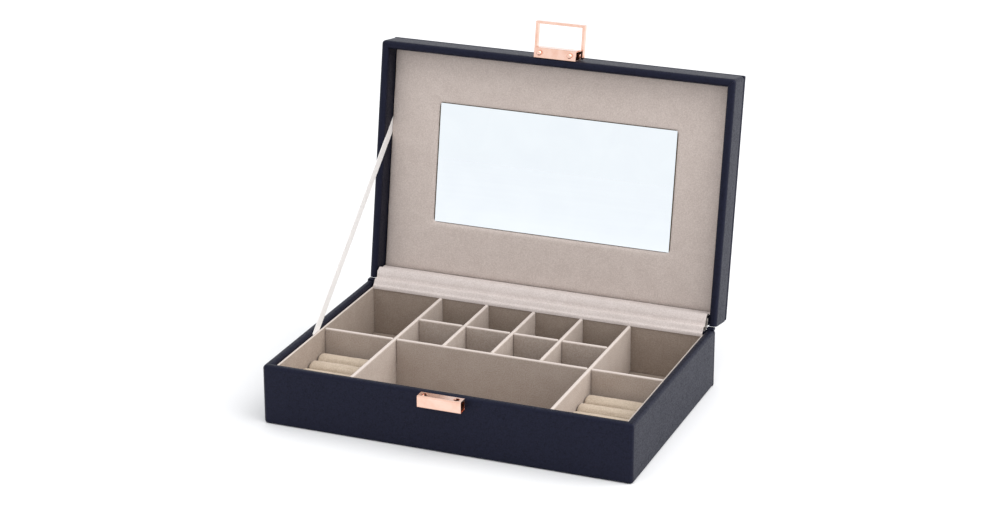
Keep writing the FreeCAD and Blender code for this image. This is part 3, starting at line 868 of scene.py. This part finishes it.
@dataclass
class RingRolls:
    """Foam rolls in brushed velour that stand side by side and hold rings between them."""

    count: int = 5
    skin: float = 0.35
    top_round: float = 6.6
    end_round: float = 2.2
    fill: float = 0.8
    puff: Puff = Puff(voxel=1.1, cap=0.45, pressure=6.0, grow=0.04)

    def build(self, finishes: Wardrobe) -> None:
        """Models one roll and copies it to each place, every other one turned end for end."""
        low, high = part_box("ring_roll_left_1")
        master = self._master(low / MM, high / MM)
        own = (low + high) / 2
        for side in ("left", "right"):
            for i in range(1, self.count + 1):
                node = f"ring_roll_{side}_{i}"
                copy = placed(f"roll_{side}_{i}", master.data.copy())
                target_low, target_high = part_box(node)
                centre = (target_low + target_high) / 2
                turn = Matrix.Rotation(math.pi * ((i + (side == "right")) % 2), 4, "Z")
                dress(copy, finishes.roll, Body.BASE, [node],
                      Matrix.Translation(centre) @ turn @ Matrix.Translation(-own))
        bpy.data.objects.remove(master)

    def _master(self, low: Vector, high: Vector) -> bpy.types.Object:
        """Models one roll inside a box, a little smaller than it, and blows it up."""
        inset = Vector((self.skin, self.skin, self.skin))
        low, high = low + inset, high - inset
        half, middle = (high.x - low.x) / 2, (high.x + low.x) / 2
        bench = Bench("roll_master", low, high)
        bench.bevel(lambda e: abs(e.verts[0].co.x - e.verts[1].co.x) > 5 * MM, self.top_round, 7)
        bench.bevel(lambda e: all(abs(abs(v.co.x / MM - middle) - half) < NEAR for v in e.verts)
                    and e.calc_face_angle(0.0) > 0.5, self.end_round, 4)
        master = bench.close()
        self.puff.run(master)
        modify(master, "SUBSURF", levels=1, render_levels=1)
        smooth(master, 60.0)
        return master


@dataclass
class PaddedPanel:
    """The lid's velour panel over thin foam, with a window for the mirror."""

    half_x: float = 133.2
    half_y: float = 85.2
    low: float = 60.3
    high: float = 63.45
    window_x: float = 94.75
    window_front: float = -47.4
    window_back: float = 44.8
    border: float = 36.0
    edge: float = 1.1
    swell: float = 0.04
    fill: float = 0.7
    puff: Puff = Puff(voxel=1.6, cap=0.4, pressure=2.5, grow=0.004, frames=12)

    def build(self, finishes: Wardrobe) -> None:
        """Models the panel as a frame, blows it up a little and dresses it."""
        bench = Bench("velour_panel", (-self.half_x, -self.half_y, self.low),
                      (self.half_x, self.half_y, self.high))
        bench.hollow(self.border)
        self._fit_window(bench)
        bench.recalculate()
        bench.bevel(lambda e: e.calc_face_angle(0.0) > 0.5
                    and all(v.co.z / MM < self.low + NEAR for v in e.verts), self.edge, 3)
        obj = bench.close()
        self.puff.run(obj)
        roof = (self.high + self.swell) * MM
        for vert in obj.data.vertices:
            vert.co.z = min(vert.co.z, roof)
        obj.data.update()
        smooth(obj, 60.0)
        dress(obj, finishes.panel, Body.LID, ["padded_panel"], LID_OPEN)
        paint(finishes.mirror, "mirror")

    def _fit_window(self, bench: Bench) -> None:
        """Moves the sides of the frame's opening to those of the mirror's window."""
        inner_x, inner_y = self.half_x - self.border, self.half_y - self.border
        for axis, old, new in (
            (0, -inner_x, -self.window_x),
            (0, inner_x, self.window_x),
            (1, -inner_y, self.window_front),
            (1, inner_y, self.window_back),
        ):
            by = [0.0, 0.0, 0.0]
            by[axis] = new - old
            bench.shift(Pick.VERT, lambda v, k=axis, at=old: abs(v.co[k] / MM - at) < 0.1, by)


# ---------------------------------------------------------------- tray
@dataclass
class Tray:
    """The velour tray: four liner boards, a floor and the slotted dividers, each wrapped with soft edges."""

    liner_edge: float = 0.6
    divider_edge: float = 0.8
    liners: tuple[str, ...] = ("tray_front_liner", "tray_back_liner", "tray_left_liner", "tray_right_liner")
    dividers: tuple[str, ...] = (
        "long_divider", "cross_divider_left", "cross_divider_right", "row_divider",
        "short_divider_1", "short_divider_2", "short_divider_3",
    )

    def build(self, finishes: Wardrobe) -> None:
        """Wraps every board, so that the slots and corners close in soft creases."""
        # The liners and the floor take the tray's darker velour, painted shade for the insides of the tray,
        # and the dividers take the lighter one.
        for node in self.liners:
            dress(refined(node, f"{node}_wrap", self.liner_edge, 3), finishes.tray, Body.BASE, [node])
        for node in self.dividers:
            dress(refined(node, f"{node}_wrap", self.divider_edge, 3), finishes.divider, Body.BASE, [node])
        paint(finishes.tray, "tray_floor")


# ---------------------------------------------------------------- strips that bend
def opened(y: float, z: float) -> Vector:
    """Where a point of the closed lid lies with the lid open, in millimetres."""
    return (LID_OPEN @ scaled((0, y, z))) / MM


@dataclass
class HingeGusset:
    """The velour strip that hides the hinge: it lies over it in soft ridges, glued at both edges."""

    half_x: float = 132.4
    thick: float = 0.7
    columns: int = 60
    ripples: tuple[tuple[float, float, float], ...] = ((0.16, 0.11, 0.0), (0.1, 0.37, 1.3))

    def _profile(self) -> list[Vector]:
        """The strip's line across the hinge, in millimetres, from the tray to the lid's panel."""
        pin = PIN / MM
        route = [
            Vector((0, 83.1, 41.2)), Vector((0, 83.2, 43.3)), Vector((0, 84.8, 44.0)),
            Vector((0, 85.9, 46.0)), Vector((0, 87.4, 47.9)), Vector((0, 89.6, 46.4)),
            Vector((0, pin.y - 1.7, 48.4)), Vector((0, pin.y - 1.2, 50.4)), opened(84.4, 45.4),
            opened(83.2, 48.3), opened(86.0, 52.2), opened(83.4, 56.4), opened(85.4, 59.4),
        ]
        curve = bpy.data.curves.new("gusset_line", "CURVE")
        curve.dimensions = "3D"
        spline = curve.splines.new("NURBS")
        spline.points.add(len(route) - 1)
        for point, place in zip(spline.points, route):
            point.co = (*place, 1.0)
        spline.order_u = 3
        spline.use_endpoint_u = True
        spline.resolution_u = 6
        holder = bpy.data.objects.new("gusset_line", curve)
        line = bpy.data.meshes.new_from_object(holder)
        points = [v.co.copy() for v in line.vertices]
        bpy.data.objects.remove(holder)
        bpy.data.curves.remove(curve)
        bpy.data.meshes.remove(line)
        return points

    def build(self, finishes: Wardrobe) -> None:
        """Models the strip, gives it its thickness and dresses it, laid out across the hinge from the tray to
        the open lid.
        """
        profile = self._profile()
        mesh = bpy.data.meshes.new("velour_gusset")
        form = bmesh.new()
        rows = []
        for i in range(self.columns + 1):
            x = -self.half_x + 2 * self.half_x * i / self.columns
            wave = sum(size * math.sin(x * rate + start) for size, rate, start in self.ripples)
            row = []
            for k, point in enumerate(profile):
                ripple = wave * math.sin(math.pi * k / (len(profile) - 1))
                row.append(form.verts.new(scaled((x, point.y - ripple, point.z + ripple))))
            rows.append(row)
        for left, right in zip(rows, rows[1:]):
            for a, b, c, d in zip(left, right, right[1:], left[1:]):
                form.faces.new((a, b, c, d))
        bmesh.ops.recalc_face_normals(form, faces=form.faces)
        form.to_mesh(mesh)
        form.free()
        obj = placed("velour_gusset", mesh)
        modify(obj, "SOLIDIFY", thickness=self.thick * MM, offset=0.0)
        smooth(obj, 60.0)
        dress(obj, finishes.gusset, None, ["hinge_gusset"])
        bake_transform(obj)


@dataclass
class StayRibbon:
    """The taut satin ribbon that stops the lid: from beside the tray to beside the lid's panel."""

    width: float = 8.0
    thick: float = 0.3
    x: float = -133.75
    foot: tuple[float, float] = (-14.0, 44.0)
    head: tuple[float, float] = (-25.0, 60.3)
    tail: float = 6.5
    steps: int = 48
    columns: int = 6
    sag: float = 0.05
    cup: float = 0.06

    def build(self, finishes: Wardrobe) -> None:
        """Models the strip with its own UV map, laid out from beside the tray to beside the open lid's panel,
        and dresses it.
        """
        low = Vector((self.x, *self.foot))
        high = opened(*self.head)
        high.x = self.x
        run = (high - low).normalized()
        low, high = low - run * self.tail, high + run * self.tail
        across = Vector((1, 0, 0)).cross(run)
        length = (high - low).length
        mesh = bpy.data.meshes.new("stay_ribbon_satin")
        form = bmesh.new()
        uv = form.loops.layers.uv.new("ribbon")
        rows = []
        for i in range(self.steps + 1):
            share = i / self.steps
            centre = low.lerp(high, share)
            sag = self.sag * math.sin(math.pi * share)
            row = []
            for k in range(self.columns + 1):
                side = k / self.columns - 0.5
                cup = self.cup * (1 - 4 * side * side)
                place = centre + across * (side * self.width) + Vector((cup - sag, 0, 0))
                flat = (side * self.width * MM, share * length * MM)
                row.append((form.verts.new(scaled(place)), flat))
            rows.append(row)
        for lower, upper in zip(rows, rows[1:]):
            for quad in zip(lower, lower[1:], upper[1:], upper):
                face = form.faces.new([vert for vert, _ in quad])
                for loop, (_, flat) in zip(face.loops, quad):
                    loop[uv].uv = flat
        form.to_mesh(mesh)
        form.free()
        obj = placed("stay_ribbon_satin", mesh)
        modify(obj, "SOLIDIFY", thickness=self.thick * MM, offset=0.0)
        smooth(obj, 60.0)
        dress(obj, finishes.satin, None, ["stay_ribbon"])
        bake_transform(obj)


# ---------------------------------------------------------------- metalwork
@dataclass
class Metalwork:
    """The rose gold clasp and catch, and the nickel piano hinge."""

    edge: float = 0.16

    def build(self, finishes: Wardrobe) -> None:
        """Refines the clasp's pieces and dresses the hinge."""
        for node, name, body in (
            ("catch_channel", "catch_polished", Body.BASE),
            ("clasp_channel", "clasp_polished", Body.LID),
            ("clasp_frame", "loop_polished", Body.LOOP),
        ):
            dress(refined(node, name, self.edge), finishes.gold, body, [node])
        paint(finishes.gold, "clasp_studs", "clasp_pin", "clasp_rivets", "catch_rivets")
        paint(finishes.steel, "hinge_base_leaf", "hinge_lid_leaf", "hinge_pin", "hinge_base_nails",
              "hinge_lid_nails")


# ---------------------------------------------------------------- studio
def facing(direction: Vector) -> Any:
    """The turn that points a lamp or a camera along a direction."""
    return direction.to_track_quat("-Z", "Y").to_euler()


@dataclass
class Studio:
    """A pale floor, soft light and the camera."""

    azimuth: float = 21.61
    elevation: float = 21.07
    distance: float = 1.9056
    aim: tuple[float, float, float] = (0.0138, 0.0002, 0.1053)
    lens: float = 96.0
    shift: tuple[float, float] = (-0.0102, 0.0091)
    floor_size: float = 14.0
    sky: tuple[float, float, float, float] = (0.975, 0.985, 1.0, 1.0)
    sky_strength: float = 1.13

    def build(self) -> None:
        """Builds the floor, the lights, the world and the camera."""
        self._floor()
        self._ceiling(toward=(1.0, 0.05, 1.0), spread=55.0, strength=1.25)
        self._soft_box("side", place=(1.9, 0.5, 1.0), aim=(0.0, 0.0, 0.08), size=1.3, power=15.0)
        self._soft_box("top", place=(0.1, -0.5, 1.7), aim=(0.0, 0.0, 0.05), size=0.7, power=4.0)
        world = bpy.data.worlds.new("studio_sky")
        world.use_nodes = True
        background = world.node_tree.nodes["Background"]
        background.inputs["Color"].default_value = self.sky
        background.inputs["Strength"].default_value = self.sky_strength
        bpy.context.scene.world = world
        bpy.context.scene.view_settings.view_transform = "Standard"
        self._camera()

    def _floor(self) -> None:
        """Adds the floor sheet."""
        bpy.ops.object.select_all(action="DESELECT")
        bpy.ops.mesh.primitive_plane_add(size=self.floor_size, location=(0, 0, 0))
        floor = bpy.context.view_layer.objects.active
        floor.name = "studio_floor"
        material, tree = new_material("studio_paper")
        where = add(tree, "TexCoord").outputs["Object"]
        cloud = add(tree, "TexNoise", {"Vector": where, "Scale": per_metre(300.0), "Detail": 2.0})
        colour = ramp(tree, cloud.outputs["Fac"], ((0.2, "#e6e6e7"), (0.8, "#e9e9e9")))
        surface(tree, Base_Color=colour, Roughness=0.9, Specular_IOR_Level=0.1)
        floor.data.materials.append(material)

    def _ceiling(self, toward: Point, spread: float, strength: float) -> None:
        """Adds an even light over the whole floor, as wide as a ceiling of soft boxes."""
        lamp = bpy.data.lights.new("ceiling", "SUN")
        lamp.angle = math.radians(spread)
        lamp.energy = strength
        placed("ceiling", lamp).rotation_euler = facing(-Vector(toward))

    def _soft_box(self, name: str, place: Point, aim: Point, size: float, power: float) -> None:
        """Adds a square soft light that faces a point."""
        lamp = bpy.data.lights.new(name, "AREA")
        lamp.size = size
        lamp.energy = power
        holder = placed(name, lamp)
        holder.location = place
        holder.rotation_euler = facing(Vector(aim) - Vector(place))

    def _camera(self) -> None:
        """Adds the camera."""
        turn, rise = math.radians(self.azimuth), math.radians(self.elevation)
        back = Vector((math.sin(turn) * math.cos(rise), -math.cos(turn) * math.cos(rise), math.sin(rise)))
        data = bpy.data.cameras.new("camera")
        data.lens = self.lens
        data.sensor_width = 36.0
        data.shift_x, data.shift_y = self.shift
        data.clip_start, data.clip_end = 0.05, 50.0
        camera = placed("camera", data)
        camera.location = Vector(self.aim) + back * self.distance
        camera.rotation_euler = facing(-back)
        bpy.context.scene.camera = camera


def main() -> None:
    """Builds the studio and every piece of the box, in order."""
    logging.basicConfig(level=logging.INFO, format="%(name)s: %(message)s")
    Studio().build()
    finishes = Wardrobe()
    for part in (BaseCase(), LidCase(), Tray(), RingRolls(), PaddedPanel(), HingeGusset(), StayRibbon(),
                 Metalwork()):
        part.build(finishes)
        LOG.info("%s is done", type(part).__name__)
    bpy.ops.object.select_all(action="DESELECT")


if __name__ == "__main__":
    main()
